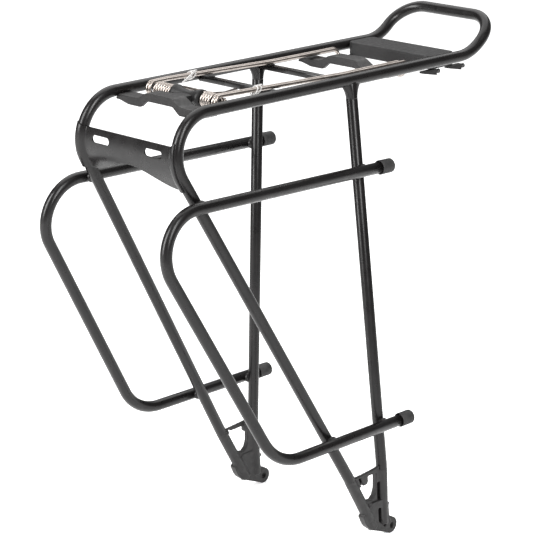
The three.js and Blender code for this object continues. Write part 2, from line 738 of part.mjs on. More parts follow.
// One wire of the bow: an eye round the axle, back along the rail, down and across.
function bowWire({ y, rearX, dropZ }) {
  const eyeSteps = 15;
  const eye = [];
  for (let i = 0; i < eyeSteps; i += 1) {
    const angle = THREE.MathUtils.degToRad(350 - (260 * i) / eyeSteps);
    eye.push(new THREE.Vector3(
      CLAMP_X + COIL_RADIUS * Math.cos(angle),
      y,
      CLAMP_Z + COIL_RADIUS * Math.sin(angle),
    ));
  }
  const arm = [
    new THREE.Vector3(CLAMP_X, y, CLAMP_Z + COIL_RADIUS),
    new THREE.Vector3(WIRE_REST_X, y, WIRE_REST_Z),
    new THREE.Vector3(rearX, y, WIRE_REST_Z),
    new THREE.Vector3(rearX, y - WIRE_DROP_LEAN, dropZ),
  ];
  const mirror = (points) => points.map((p) => new THREE.Vector3(p.x, -p.y, p.z)).reverse();
  const bow = roundCorners([...arm, ...mirror(arm)], [60, 5.5, 5.5, 5.5, 5.5, 60], 22);
  return tubeGeometry([...eye, ...bow, ...mirror(eye)], WIRE_RADIUS, 8);
}

for (const [label, side] of SIDES) {
  addPiece(`spring_coil_${label}`, coil(label, side), springSteel);
}
for (const [name, wire] of Object.entries(BOW_WIRES)) {
  addPiece(name, bowWire(wire), springSteel);
}

// The fixed end of the spring: across behind the spool, then back to the front crossbar.
function reactionWire() {
  const route = REACTION_WIRE.route.map(([x, y, z]) => new THREE.Vector3(x, y, z));
  return tubeGeometry(roundCorners(route, REACTION_WIRE.bends, 24), REACTION_WIRE.radius, 8);
}

addPiece('spring_reaction_wire', reactionWire(), springSteel);

const armZ = (x) => THREE.MathUtils.mapLinear(x, CLAMP_X, WIRE_REST_X, CLAMP_Z + COIL_RADIUS, WIRE_REST_Z);

// A plastic tie pulled tight round both wires of one arm.
function wireTie(side, centreX) {
  const z = armZ(centreX);
  const { y: outerY } = BOW_WIRES.clamp_wire_outer;
  const { y: innerY } = BOW_WIRES.clamp_wire_inner;
  const reach = WIRE_RADIUS + TIE_BAND.clearance + TIE_BAND.radius;
  const ring = new THREE.Shape();
  const hole = new THREE.Path();
  for (const [path, r, clockwise] of [[ring, reach, false], [hole, reach - TIE_BAND.radius, true]]) {
    const quarter = Math.PI / 2;
    if (clockwise) {
      path.absarc(innerY, z, r, -quarter, -3 * quarter, true);
      path.absarc(outerY, z, r, quarter, -quarter, true);
    } else {
      path.absarc(outerY, z, r, -quarter, quarter, false);
      path.absarc(innerY, z, r, quarter, 3 * quarter, false);
    }
  }
  ring.holes.push(hole);
  const band = prismAlongX(ring, centreX - 1.5, centreX + 1.5, 5);
  if (side > 0) {
    return band;
  }
  return band.applyMatrix4(new THREE.Matrix4().makeRotationZ(Math.PI)).translate(2 * centreX, 0, 0);
}

for (const [label, side] of SIDES) {
  addPiece(`wire_tie_${label}`, wireTie(side, TIE_X[label]), clearPlastic);
}

export default rack;
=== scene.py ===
"""A bicycle rear rack on a pale studio floor: smooth bent tubes, castings, springs and finishes
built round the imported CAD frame. Metres, in the frame's own axes: +X rear, +Y right, +Z up."""

import math

import bmesh
import bpy
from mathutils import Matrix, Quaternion, Vector

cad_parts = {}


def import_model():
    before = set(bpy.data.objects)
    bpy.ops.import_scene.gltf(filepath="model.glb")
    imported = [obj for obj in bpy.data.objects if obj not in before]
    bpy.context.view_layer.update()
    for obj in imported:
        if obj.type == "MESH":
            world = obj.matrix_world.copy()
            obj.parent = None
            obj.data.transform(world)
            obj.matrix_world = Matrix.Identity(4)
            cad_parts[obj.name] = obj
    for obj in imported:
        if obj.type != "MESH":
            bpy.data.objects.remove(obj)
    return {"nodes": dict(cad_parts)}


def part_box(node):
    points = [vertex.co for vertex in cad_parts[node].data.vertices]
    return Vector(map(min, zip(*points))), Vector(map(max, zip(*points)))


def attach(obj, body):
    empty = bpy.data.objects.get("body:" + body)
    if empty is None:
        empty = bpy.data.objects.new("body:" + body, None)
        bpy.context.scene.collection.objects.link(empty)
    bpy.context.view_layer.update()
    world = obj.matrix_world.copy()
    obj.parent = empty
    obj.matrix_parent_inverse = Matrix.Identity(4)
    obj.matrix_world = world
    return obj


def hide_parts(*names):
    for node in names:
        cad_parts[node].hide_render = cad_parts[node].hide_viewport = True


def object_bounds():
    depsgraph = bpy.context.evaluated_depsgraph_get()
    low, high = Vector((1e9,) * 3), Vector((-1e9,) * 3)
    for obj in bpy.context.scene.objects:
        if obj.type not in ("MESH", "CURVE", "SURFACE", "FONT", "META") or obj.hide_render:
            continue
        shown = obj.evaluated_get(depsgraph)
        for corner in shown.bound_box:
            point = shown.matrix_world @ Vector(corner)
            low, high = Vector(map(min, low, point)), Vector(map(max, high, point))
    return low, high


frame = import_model()
cad_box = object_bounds()

MM = 0.001
SIDES = (("left", -1), ("right", 1))

# ---- dimensions, in millimetres ---------------------------------------------------------
TUBE_RADIUS = 5.0
RAIL_Y = 55.75
RAIL_INNER_Y = RAIL_Y - TUBE_RADIUS
RAIL_Z = 404.7
LEG_SPLAY = 0.0754
LEG_BEND_Z = 60.0
LEG_BEND_RADIUS = 60.0
LEG_END_Z = {"front": 19.5, "rear": 23.0}
FRONT_CORNER_X = -248.4
FRONT_BEND_RADIUS = 34.0
FRONT_LEG_SLOPE = 0.567
REAR_LEG_TOP_X = -25.3
REAR_LEG_SLOPE = 0.043
HANDLE_RISE_START_X = 129.9
HANDLE_TOP_X = 164.4
HANDLE_TOP_Z = 432.2
HANDLE_RISE_RADIUS = 44.0
HANDLE_CORNER_RADIUS = 27.0

LOOP_OFFSET_Y = 11.0
LOOP_CORNERS = ((5.0, 328.1), (-277.5, 333.8), (-147.3, 100.5), (15.0, 100.5))
LOOP_RADII = (35.0, 46.0)
CAP_RADIUS = 6.2
CAP_LENGTH = 15.0
CAP_FLOOR = 2.4
CAP_RIM = 1.3
WELD_ROOT = 3.0
WELD_SWELL = 1.8
WELD_STRETCH = 0.2
FLARE_DROP = 15.5
FLARE_HEIGHT = 14.0
FLARE_REACH = 8.0
FLARE_SKIN = 0.05
FLARE_NARROWING = 0.9

SLEEVE_TOP_Z = 57.0
SLEEVE_WALL = 0.12
FOOT_SCREW = {"x": -47.6, "y": 77.4, "z": 56.5}

PLATE_THICKNESS = 1.4
PLATE_TOP_Z = 381.0
PLATE_EAR_RISE = 4.0
PLATE_EAR_START = 0.88
PLATE_ARCH_Z = 357.5
PLATE_ARCH_HALF_WIDTH = 52.0
PLATE_CORNER_Z = 344.8
PLATE_WEB_RADIUS = 35.1
PLATE_WRAP_GAP = 0.1
PLATE_WRAP_BLEND = 0.9
PLATE_REACH_PAST_CROWN = 1.6
PLATE_SLOT = {"y": 32.2, "z": 372.6, "length": 21.0, "width": 6.4}

CROSSBARS = {"crossbar_front": -95.6, "crossbar_rear": -24.6}
CROSSBAR_WIDTH = 7.0
CROSSBAR_TOP = RAIL_Z - 0.6
CROSSBAR_HEIGHT = 5.0
CROSSBAR_PAD_TOP = 404.6
CROSSBAR_PAD_Y = (37.5, 49.5)
BRIDGES = {"bridge_front": -190.6, "bridge_rear": 22.4}
BRIDGE_DEPTH = 15.0
BRIDGE_THICKNESS = 7.3
BRIDGE_LIP = 1.2
BRIDGE_WALL_DEPTH = 4.0
BRIDGE_TOP_THICKNESS = 2.6
BRIDGE_BOSS_HALF_WIDTH = 11.0
BRIDGE_CREST_Z = RAIL_Z + 4.2
REAR_PLATE = {"x0": 81.0, "x1": 114.9, "z0": 396.3, "z1": 408.6}

CLAMP_X = -161.6
CLAMP_Z = 404.9
SPOOL_CENTRE_Y = -4.2
SPOOL_HALF_LENGTH = 16.5
SPOOL_FLANGE_RADIUS = 7.5
SPOOL_WAIST_RADIUS = 4.7
SPOOL_LAND = 3.2
SPOOL_NECK_Z = (401.5, 407.5)
SPOOL_NECK_HALF_WIDTH = 9
SPOOL_KEEL_DEPTH = 7.2
AXLE_RADIUS = 3.2
AXLE_HALF_LENGTH = 38.0
AXLE_BORE_RADIUS = 1.9
AXLE_BORE_DEPTH = 9
WIRE_RADIUS = 1.55
COIL_RADIUS = 5.2
COIL_WIRE_RADIUS = 1.42
COIL_PITCH = 2.95
COILS = {"left": (22.3, 4.7), "right": (13.9, 6.5)}
WIRE_REST_X = -20.0
WIRE_REST_Z = 406.5
WIRE_DROP_LEAN = 5.0
WIRE_JOG_LENGTH = 16
WIRE_BENDS = [30, 60, 5.5, 5.5]
EYE_START = 384
EYE_SWEEP = 294
BOW_WIRES = {
    "clamp_wire_outer": {"y": 42.7, "eye_y": 41.3, "rear_x": 60.5, "drop_z": 392.6},
    "clamp_wire_inner": {"y": 38.8, "eye_y": 38.15, "rear_x": 56.6, "drop_z": 396.2},
}
REACTION_ROUTE = ((-152.0, 13.5, 408.0), (-152.0, -22.0, 408.0), (-133.0, -15.6, 404.5),
                  (-101.0, 3.8, 399.8))
REACTION_BENDS = (4.0, 12.0)
REACTION_WIRE_RADIUS = 1.3
TIE_X = {"left": -121.0, "right": -119.0}
TIE_RADIUS = 0.62
TIE_LEAN = 3.4
TIE_PITCH = 3.8
TIE_TURNS = 2.0
TIE_SLACK = {"y": 0.25, "z": 0.9}
TIE_TAIL_END = (-137.0, 30.5, 406.9)


def leg_y(z):
    return RAIL_Y + LEG_SPLAY * (RAIL_Z - max(z, LEG_BEND_Z))


def front_leg(side, z):
    return Vector((FRONT_CORNER_X + FRONT_LEG_SLOPE * (RAIL_Z - z), side * leg_y(z), z))


def rear_leg(side, z):
    return Vector((REAR_LEG_TOP_X + REAR_LEG_SLOPE * (RAIL_Z - z), side * leg_y(z), z))


def loop_point(side, corner):
    x, z = corner
    return Vector((x, side * (leg_y(z) + LOOP_OFFSET_Y), z))


# ---- node materials ---------------------------------------------------------------------
class Finish:
    """A procedural material: principled shader, object coordinates and small helpers."""

    def __init__(self, name, **sockets):
        self.material = bpy.data.materials.new(name)
        self.material.use_nodes = True
        self.tree = self.material.node_tree
        self.shader = self.tree.nodes["Principled BSDF"]
        self.coords = self.tree.nodes.new("ShaderNodeTexCoord").outputs["Object"]
        for socket, value in sockets.items():
            self.shader.inputs[socket.replace("_", " ")].default_value = value

    def link(self, source, target):
        self.tree.links.new(source, target)

    def noise(self, scale, detail=3.0, roughness=0.5):
        node = self.tree.nodes.new("ShaderNodeTexNoise")
        node.inputs["Scale"].default_value = scale
        node.inputs["Detail"].default_value = detail
        node.inputs["Roughness"].default_value = roughness
        self.link(self.coords, node.inputs["Vector"])
        return node.outputs["Fac"]

    def spread(self, value, low, high, start=0.3, end=0.7):
        node = self.tree.nodes.new("ShaderNodeMapRange")
        node.inputs["From Min"].default_value = start
        node.inputs["From Max"].default_value = end
        node.inputs["To Min"].default_value = low
        node.inputs["To Max"].default_value = high
        self.link(value, node.inputs["Value"])
        return node.outputs["Result"]

    def colours(self, value, dark, light, start=0.3, end=0.7):
        ramp = self.tree.nodes.new("ShaderNodeValToRGB")
        first, last = ramp.color_ramp.elements
        first.position, last.position = start, end
        first.color, last.color = (*dark, 1.0), (*light, 1.0)
        self.link(value, ramp.inputs["Fac"])
        self.link(ramp.outputs["Color"], self.shader.inputs["Base Color"])

    def roughness(self, value, low, high, start=0.3, end=0.7):
        self.link(self.spread(value, low, high, start, end), self.shader.inputs["Roughness"])

    def bump(self, *layers):
        """layers are (height value, strength, distance in mm), laid over each other."""
        normal = None
        for value, strength, distance in layers:
            node = self.tree.nodes.new("ShaderNodeBump")
            node.inputs["Strength"].default_value = strength
            node.inputs["Distance"].default_value = distance * MM
            self.link(value, node.inputs["Height"])
            if normal:
                self.link(normal, node.inputs["Normal"])
            normal = node.outputs["Normal"]
        self.link(normal, self.shader.inputs["Normal"])


def tube_paint():
    f = Finish("satin_black_powder_coat", Specular_IOR_Level=0.3, IOR=1.5)
    f.colours(f.noise(38.0, 4.0), (0.0046, 0.0041, 0.0042), (0.0078, 0.0071, 0.0072))
    f.roughness(f.noise(120.0, 3.0), 0.25, 0.34)
    f.bump((f.noise(700.0, 2.0), 0.12, 0.02), (f.noise(2400.0, 1.0), 0.1, 0.006))
    return f.material


def casting_paint():
    f = Finish("painted_casting", Specular_IOR_Level=0.4, IOR=1.5)
    f.colours(f.noise(70.0, 4.0), (0.0068, 0.0062, 0.0062), (0.014, 0.013, 0.013))
    f.roughness(f.noise(260.0, 4.0, 0.6), 0.4, 0.6)
    f.bump((f.noise(420.0, 3.0), 0.25, 0.06), (f.noise(1900.0, 2.0), 0.2, 0.02))
    return f.material


def moulded_plastic():
    f = Finish("moulded_black_plastic", Specular_IOR_Level=0.34, IOR=1.47)
    f.colours(f.noise(55.0, 3.0), (0.0075, 0.0072, 0.0074), (0.0145, 0.014, 0.0142))
    f.roughness(f.noise(300.0, 4.0), 0.42, 0.58)
    f.bump((f.noise(2300.0, 2.0), 0.45, 0.03), (f.noise(140.0, 2.0), 0.2, 0.1))
    return f.material


def cap_rubber():
    f = Finish("end_cap_rubber", Specular_IOR_Level=0.4, IOR=1.45)
    f.colours(f.noise(160.0, 4.0), (0.018, 0.018, 0.0185), (0.036, 0.035, 0.035))
    f.roughness(f.noise(420.0, 4.0), 0.6, 0.82)
    f.bump((f.noise(1700.0, 3.0), 0.5, 0.05))
    return f.material


def spring_wire():
    f = Finish("drawn_spring_wire", Metallic=1.0, IOR=2.5)
    f.colours(f.noise(90.0, 2.0), (0.32, 0.282, 0.256), (0.41, 0.37, 0.34))
    f.roughness(f.noise(160.0, 2.0), 0.26, 0.36)
    f.bump((f.noise(1400.0, 1.0), 0.12, 0.01))
    return f.material


def tie_plastic():
    f = Finish("pale_tie_plastic", Transmission_Weight=0.25, IOR=1.49, Specular_IOR_Level=0.5)
    f.colours(f.noise(500.0, 2.0), (0.5, 0.49, 0.48), (0.62, 0.61, 0.6))
    f.roughness(f.noise(900.0, 2.0), 0.22, 0.38)
    f.bump((f.noise(1200.0, 2.0), 0.3, 0.05))
    return f.material


def dark_steel():
    f = Finish("blackened_steel", Metallic=0.6, IOR=1.9)
    f.colours(f.noise(300.0, 3.0), (0.014, 0.014, 0.015), (0.032, 0.031, 0.03))
    f.roughness(f.noise(600.0, 3.0), 0.34, 0.5)
    f.bump((f.noise(1500.0, 2.0), 0.3, 0.03))
    return f.material


PAINT = tube_paint()
CASTING = casting_paint()
PLASTIC = moulded_plastic()
RUBBER = cap_rubber()
WIRE = spring_wire()
TIE = tie_plastic()
DARK_STEEL = dark_steel()


# ---- mesh helpers -----------------------------------------------------------------------
def rounded_path(corners, radii, step_degrees=4.0):
    """The polyline through corners, each inner corner replaced by an arc of its radius."""
    points = [Vector(corners[0])]
    for i in range(1, len(corners) - 1):
        corner = Vector(corners[i])
        back = (Vector(corners[i - 1]) - corner).normalized()
        ahead = (Vector(corners[i + 1]) - corner).normalized()
        half = back.angle(ahead) / 2
        radius = radii[i - 1]
        start = corner + back * (radius / math.tan(half))
        centre = corner + (back + ahead).normalized() * (radius / math.sin(half))
        sweep_angle = math.pi - 2 * half
        steps = max(2, round(math.degrees(sweep_angle) / step_degrees))
        axis = (-back).cross(ahead).normalized()
        for k in range(steps + 1):
            turn = Quaternion(axis, sweep_angle * k / steps)
            points.append(centre + turn @ (start - centre))
    points.append(Vector(corners[-1]))
    return points


def mesh_object(name, verts, faces, smooth=True):
    mesh = bpy.data.meshes.new(name)
    mesh.from_pydata([tuple(Vector(v) * MM) for v in verts], [], faces)
    mesh.validate()
    work = bmesh.new()
    work.from_mesh(mesh)
    bmesh.ops.recalc_face_normals(work, faces=work.faces)
    work.to_mesh(mesh)
    work.free()
    if smooth:
        mesh.shade_smooth()
    obj = bpy.data.objects.new(name, mesh)
    bpy.context.scene.collection.objects.link(obj)
    return obj


def swept_tube(name, points, radius, sides=32):
    """A round bar along points, in frames that don't twist; its ends are domed a little."""
    first = (points[1] - points[0]).normalized()
    last = (points[-1] - points[-2]).normalized()
    dome = 0.25 * radius
    rounds = [(point, 1.0) for point in points]
    spine = [(points[0] - first * dome, 0.72)] + rounds + [(points[-1] + last * dome, 0.72)]
    tangents = []
    for i, point in enumerate(points):
        before = points[max(i - 1, 0)]
        after = points[min(i + 1, len(points) - 1)]
        incoming = (point - before).normalized() if i else first
        outgoing = (after - point).normalized() if i < len(points) - 1 else last
        tangents.append((incoming + outgoing).normalized())
    tangents = [first] + tangents + [last]
    normal = tangents[0].orthogonal().normalized()
    verts = []
    for i, ((centre, scale), tangent) in enumerate(zip(spine, tangents)):
        if i:
            normal = tangents[i - 1].rotation_difference(tangent) @ normal
        across = tangent.cross(normal)
        for k in range(sides):
            angle = 2 * math.pi * k / sides
            spoke = normal * math.cos(angle) + across * math.sin(angle)
            verts.append(centre + spoke * radius * scale)
    faces = [list(range(sides))[::-1], [len(verts) - sides + k for k in range(sides)]]
    for ring in range(len(spine) - 1):
        for k in range(sides):
            a = ring * sides + k
            b = ring * sides + (k + 1) % sides
            faces.append([a, b, b + sides, a + sides])
    return mesh_object(name, verts, faces)


def lathe(name, profile, origin, axis, segments=48):
    """Turns (radius, height) pairs about axis. The profile starts and ends on the axis."""
    turn = Vector((0, 0, 1)).rotation_difference(Vector(axis))
    verts, rings = [], []
    for radius, height in profile:
        ring = []
        count = segments if radius > 1e-6 else 1
        for k in range(count):
            angle = 2 * math.pi * k / segments
            local = Vector((radius * math.cos(angle), radius * math.sin(angle), height))
            ring.append(len(verts))
            verts.append(Vector(origin) + turn @ local)
        rings.append(ring)
    faces = []
    for low, high in zip(rings, rings[1:]):
        for k in range(segments):
            n = (k + 1) % segments
            quad = [low[k % len(low)], low[n % len(low)], high[n % len(high)], high[k % len(high)]]
            face = list(dict.fromkeys(quad))
            if len(face) > 2:
                faces.append(face)
    return mesh_object(name, verts, faces)


def rounded_outline(corners, radius, steps=5):
    """A closed 2-D outline with each corner rounded; radius is one value or one per corner."""
    radii = radius if isinstance(radius, (list, tuple)) else [radius] * len(corners)
    outline = []
    for i, corner in enumerate(corners):
        here = Vector(corner)
        back = Vector(corners[i - 1]) - here
        ahead = Vector(corners[(i + 1) % len(corners)]) - here
        reach = min(radii[i], back.length * 0.49, ahead.length * 0.49)
        if reach < 1e-4:
            outline.append(here)
            continue
        start = here + back.normalized() * reach
        end = here + ahead.normalized() * reach
        for k in range(steps + 1):
            t = k / steps
            outline.append(start.lerp(here, t).lerp(here.lerp(end, t), t))
    return outline


def prism(name, outline, place, low, high, bevel=0.6, bevel_segments=3):
    """Extrudes a 2-D outline; place(u, v, w) turns outline and depth into a point."""
    count = len(outline)
    verts = [place(u, v, low) for u, v in outline] + [place(u, v, high) for u, v in outline]
    faces = [list(range(count))[::-1], list(range(count, 2 * count))]
    for k in range(count):
        n = (k + 1) % count
        faces.append([k, n, n + count, k + count])
    obj = mesh_object(name, verts, faces)
    if bevel:
        soften(obj, bevel, bevel_segments)
    return obj


def soften(obj, width, segments=3, angle=35.0):
    bevel = obj.modifiers.new("soft_edges", "BEVEL")
    bevel.width = width * MM
    bevel.segments = segments
    bevel.limit_method = "ANGLE"
    bevel.angle_limit = math.radians(angle)
    bevel.harden_normals = False
    normals = obj.modifiers.new("face_normals", "WEIGHTED_NORMAL")
    normals.keep_sharp = True
    return obj


def cast_skin(obj, voxel=0.45, passes=4, factor=0.5):
    """Merges overlapping solids into one skin and rounds every edge, as a casting has."""
    skin = obj.modifiers.new("one_skin", "REMESH")
    skin.mode = "VOXEL"
    skin.voxel_size = voxel * MM
    skin.use_smooth_shade = True
    smooth = obj.modifiers.new("rounded", "SMOOTH")
    smooth.factor = factor
    smooth.iterations = passes
    return obj


def bake(obj):
    """Applies the modifiers, so that objects they use can go."""
    depsgraph = bpy.context.evaluated_depsgraph_get()
    mesh = bpy.data.meshes.new_from_object(obj.evaluated_get(depsgraph))
    obj.modifiers.clear()
    obj.data = mesh


def joined(name, objects):
    """One object made of several meshes, which may overlap."""
    work = bmesh.new()
    for obj in objects:
        work.from_mesh(obj.data)
        bpy.data.objects.remove(obj)
    mesh = bpy.data.meshes.new(name)
    work.to_mesh(mesh)
    work.free()
    merged = bpy.data.objects.new(name, mesh)
    bpy.context.scene.collection.objects.link(merged)
    return merged


def add(obj, material, body, replaces=()):
    obj.data.materials.clear()
    obj.data.materials.append(material)
    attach(obj, body)
    if replaces:
        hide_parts(*replaces)
    return obj


def across_frame(u, v, w):
    return (u, w, v)


def along_frame(u, v, w):
    return (w, u, v)


def mirrored(points):
    return [Vector((p.x, -p.y, p.z)) for p in reversed(points)]


# ---- frame tubes --------------------------------------------------------------------------
def frame_tube():
    half = [
        front_leg(-1, LEG_END_Z["front"]),
        front_leg(-1, LEG_BEND_Z),
        Vector((FRONT_CORNER_X, -RAIL_Y, RAIL_Z)),
        Vector((HANDLE_RISE_START_X, -RAIL_Y, RAIL_Z)),
        Vector((HANDLE_TOP_X, -RAIL_Y, HANDLE_TOP_Z)),
    ]
    radii = [LEG_BEND_RADIUS, FRONT_BEND_RADIUS, HANDLE_RISE_RADIUS, HANDLE_CORNER_RADIUS]
    path = rounded_path(half + mirrored(half), radii + radii[::-1], 3.0)
    tube = swept_tube("frame_tube", path, TUBE_RADIUS, 40)
    add(tube, PAINT, "rack", ("side_tube_left", "side_tube_right", "handle_tube"))


def rear_leg_tube(label, side):
    route = [rear_leg(side, z) for z in (LEG_END_Z["rear"], LEG_BEND_Z, RAIL_Z - 2)]
    path = rounded_path(route, [LEG_BEND_RADIUS])
    tube = swept_tube(f"rear_leg_tube_{label}", path, TUBE_RADIUS, 40)
    node = f"rear_leg_{label}"
    add(tube, PAINT, "rack", (node,))


def pannier_loop(label, side):
    corners = [loop_point(side, corner) for corner in LOOP_CORNERS]
    path = rounded_path(corners, LOOP_RADII, 3.0)
    tube = swept_tube(f"pannier_rail_{label}", path, TUBE_RADIUS, 40)
    node = f"pannier_loop_{label}"
    add(tube, PAINT, "rack", (node,))


def end_cap(label, side, place, end, inner):
    tip = loop_point(side, end)
    along = (tip - loop_point(side, inner)).normalized()
    top = CAP_FLOOR + 0.6
    mouth = top - CAP_LENGTH
    profile = [(0, top), (CAP_RADIUS * 0.45, top - 0.08), (CAP_RADIUS - CAP_RIM, top - 0.45)]
    for k in range(1, 7):
        angle = math.radians(90 - 15 * k)
        profile.append((
            CAP_RADIUS - CAP_RIM + CAP_RIM * math.cos(angle),
            top - 0.45 - CAP_RIM + CAP_RIM * math.sin(angle),
        ))
    profile += [
        (CAP_RADIUS + 0.1, mouth + 0.6),
        (CAP_RADIUS - 0.2, mouth),
        (TUBE_RADIUS + 0.45, mouth + 0.15),
        (TUBE_RADIUS + 0.35, mouth + 2.5),
        (0, mouth + 2.5),
    ]
    cap = lathe(f"rubber_cap_{place}_{label}", profile[::-1], tip, along)
    node = f"end_cap_{place}_{label}"
    add(cap, RUBBER, "rack", (node,))


def weld_bead(name, start, end, along):
    """The weld between two touching tubes: a bead round the line from one axis to the other."""
    length = (end - start).length
    steps = 16
    profile = [(0, 0)]
    for k in range(steps + 1):
        t = k / steps
        radius = WELD_ROOT + WELD_SWELL * math.sin(math.pi * t) ** 2
        profile.append((radius, length * (0.1 + 0.8 * t)))
    profile.append((0, length))
    bead = lathe(name, profile, start, (end - start).normalized(), 32)
    centre = (start + end) / 2 * MM
    rail_direction = along.normalized()
    for vertex in bead.data.vertices:
        reach = (vertex.co - centre).dot(rail_direction)
        vertex.co += rail_direction * reach * WELD_STRETCH
    return add(bead, PAINT, "rack")


def leg_flare(label, side):
    """The rear leg spreads along the rail where it is welded on."""
    rings, sides = 10, 36
    verts = []
    for i in range(rings + 1):
        t = i / rings
        z = RAIL_Z - FLARE_DROP + FLARE_HEIGHT * t
        centre = rear_leg(side, z)
        long_reach = TUBE_RADIUS + FLARE_SKIN + FLARE_REACH * t ** 1.7
        wide_reach = TUBE_RADIUS + FLARE_SKIN - FLARE_NARROWING * t
        for k in range(sides):
            angle = 2 * math.pi * k / sides
            spoke = Vector((long_reach * math.cos(angle), wide_reach * math.sin(angle), 0))
            verts.append(centre + spoke)
    faces = [list(range(sides))[::-1], [rings * sides + k for k in range(sides)]]
    for ring in range(rings):
        for k in range(sides):
            a, b = ring * sides + k, ring * sides + (k + 1) % sides
            faces.append([a, b, b + sides, a + sides])
    add(mesh_object(f"leg_flare_{label}", verts, faces), PAINT, "rack")


def crossing(leg, side, start, end):
    """The point on a leg, and the one on the pannier rail outside it, where the two cross."""
    low, high = 0.0, 1.0
    for _ in range(40):
        middle = (low + high) / 2
        x = start[0] + (end[0] - start[0]) * middle
        z = start[1] + (end[1] - start[1]) * middle
        if (x - leg(side, z).x) * (end[0] - start[0]) < 0:
            low = middle
        else:
            high = middle
    on_leg = leg(side, z)
    return on_leg, on_leg + Vector((0, side * LOOP_OFFSET_Y, 0))


def rail_welds(label, side):
    upper_rear, upper_front, lower_front, lower_rear = LOOP_CORNERS
    spots = {
        "upper_rear": (rear_leg, upper_front, upper_rear),
        "upper_front": (front_leg, upper_front, upper_rear),
        "lower_front": (front_leg, lower_front, lower_rear),
        "lower_rear": (rear_leg, lower_front, lower_rear),
    }
    for place, (leg, start, end) in spots.items():
        on_leg, on_rail = crossing(leg, side, start, end)
        along = Vector((end[0] - start[0], 0, end[1] - start[1]))
        weld_bead(f"rail_weld_{place}_{label}", on_leg, on_rail, along)


frame_tube()
for label, side in SIDES:
    rear_leg_tube(label, side)
    leg_flare(label, side)
    pannier_loop(label, side)
    rail_welds(label, side)
    end_cap(label, side, "upper", LOOP_CORNERS[0], LOOP_CORNERS[1])
    end_cap(label, side, "lower", LOOP_CORNERS[3], LOOP_CORNERS[2])

# ---- dropout feet ------------------------------------------------------------------------
def casting_foot(label, side):
    """The casting with its edges rounded over, run on a little way up both legs, and the small
    screw head on its outer face."""
    node = f"dropout_foot_{label}"
    bare = bpy.data.objects.new("casting_bare", frame["nodes"][node].data.copy())
    additions = []
    for leg, end in ((front_leg, LEG_END_Z["front"]), (rear_leg, LEG_END_Z["rear"])):
        route = [leg(side, end - 6), leg(side, SLEEVE_TOP_Z)]
        additions.append(swept_tube("sleeve", route, TUBE_RADIUS + SLEEVE_WALL, 40))
    screw_at = Vector((FOOT_SCREW["x"], side * FOOT_SCREW["y"], FOOT_SCREW["z"]))
    screw_profile = [(0, -2), (2.6, -2), (2.5, 0.2), (1.6, 1.2), (0, 1.5)]
    additions.append(lathe("screw", screw_profile, screw_at, (0.45, -side, 0.1), 24))
    skin = joined(f"casting_{label}", [bare] + additions)
    cast_skin(skin)
    add(skin, CASTING, "rack", (node,))


for label, side in SIDES:
    casting_foot(label, side)


# ---- front plate -------------------------------------------------------------------------
LEG_LEAN = math.atan(FRONT_LEG_SLOPE)
BEND_TURN = math.pi / 2 + LEG_LEAN
BEND_X = FRONT_CORNER_X + FRONT_BEND_RADIUS * math.tan(BEND_TURN / 2)
BEND_Z = RAIL_Z - FRONT_BEND_RADIUS


def bend_point(radius, z):
    """Where a sheet that runs round the bend at this radius, then down the leg, has height z."""
    tangent_z = BEND_Z - radius * math.sin(LEG_LEAN)
    if z >= tangent_z:
        rise = z - BEND_Z
        return BEND_X - math.sqrt(max(radius * radius - rise * rise, 0.0))
    return BEND_X - radius * math.cos(LEG_LEAN) + FRONT_LEG_SLOPE * (tangent_z - z)


def plate_low_edge(y):
    reach = min(abs(y) / PLATE_ARCH_HALF_WIDTH, 1.0)
    rise = (0.5 + 0.5 * math.cos(math.pi * reach)) ** 0.9
    return PLATE_CORNER_Z + (PLATE_ARCH_Z - PLATE_CORNER_Z) * rise


def plate_top_edge(across):
    """The top edge is level between the tubes and climbs a little where it wraps each of them."""
    into_ear = max(0.0, abs(across) - PLATE_EAR_START) / (1.0 - PLATE_EAR_START)
    return PLATE_TOP_Z + PLATE_EAR_RISE * into_ear ** 1.5


def sheet_radius(y, z, skin):
    """Radius of a sheet face: the web between the tubes, blended into a wrap over each tube."""
    from_tube = abs(y) - leg_y(z)
    wrap = TUBE_RADIUS + PLATE_WRAP_GAP + skin
    over_tube = FRONT_BEND_RADIUS + math.sqrt(max(wrap * wrap - from_tube * from_tube, 0.0))
    web = PLATE_WEB_RADIUS + skin
    if from_tube < -wrap:
        return web
    top = max(web, over_tube)
    shares = [math.exp((radius - top) / PLATE_WRAP_BLEND) for radius in (web, over_tube)]
    return top + PLATE_WRAP_BLEND * math.log(sum(shares))


def plate_slot_outline(side):
    """The round-ended slot on one side, as (y, z) pairs."""
    half = PLATE_SLOT["length"] / 2 - PLATE_SLOT["width"] / 2
    radius = PLATE_SLOT["width"] / 2
    outline = []
    for end in (1, -1):
        for k in range(33):
            angle = math.pi * k / 32 - end * math.pi / 2
            outline.append((side * PLATE_SLOT["y"] + end * half + radius * math.cos(angle),
                            PLATE_SLOT["z"] + radius * math.sin(angle)))
    return outline


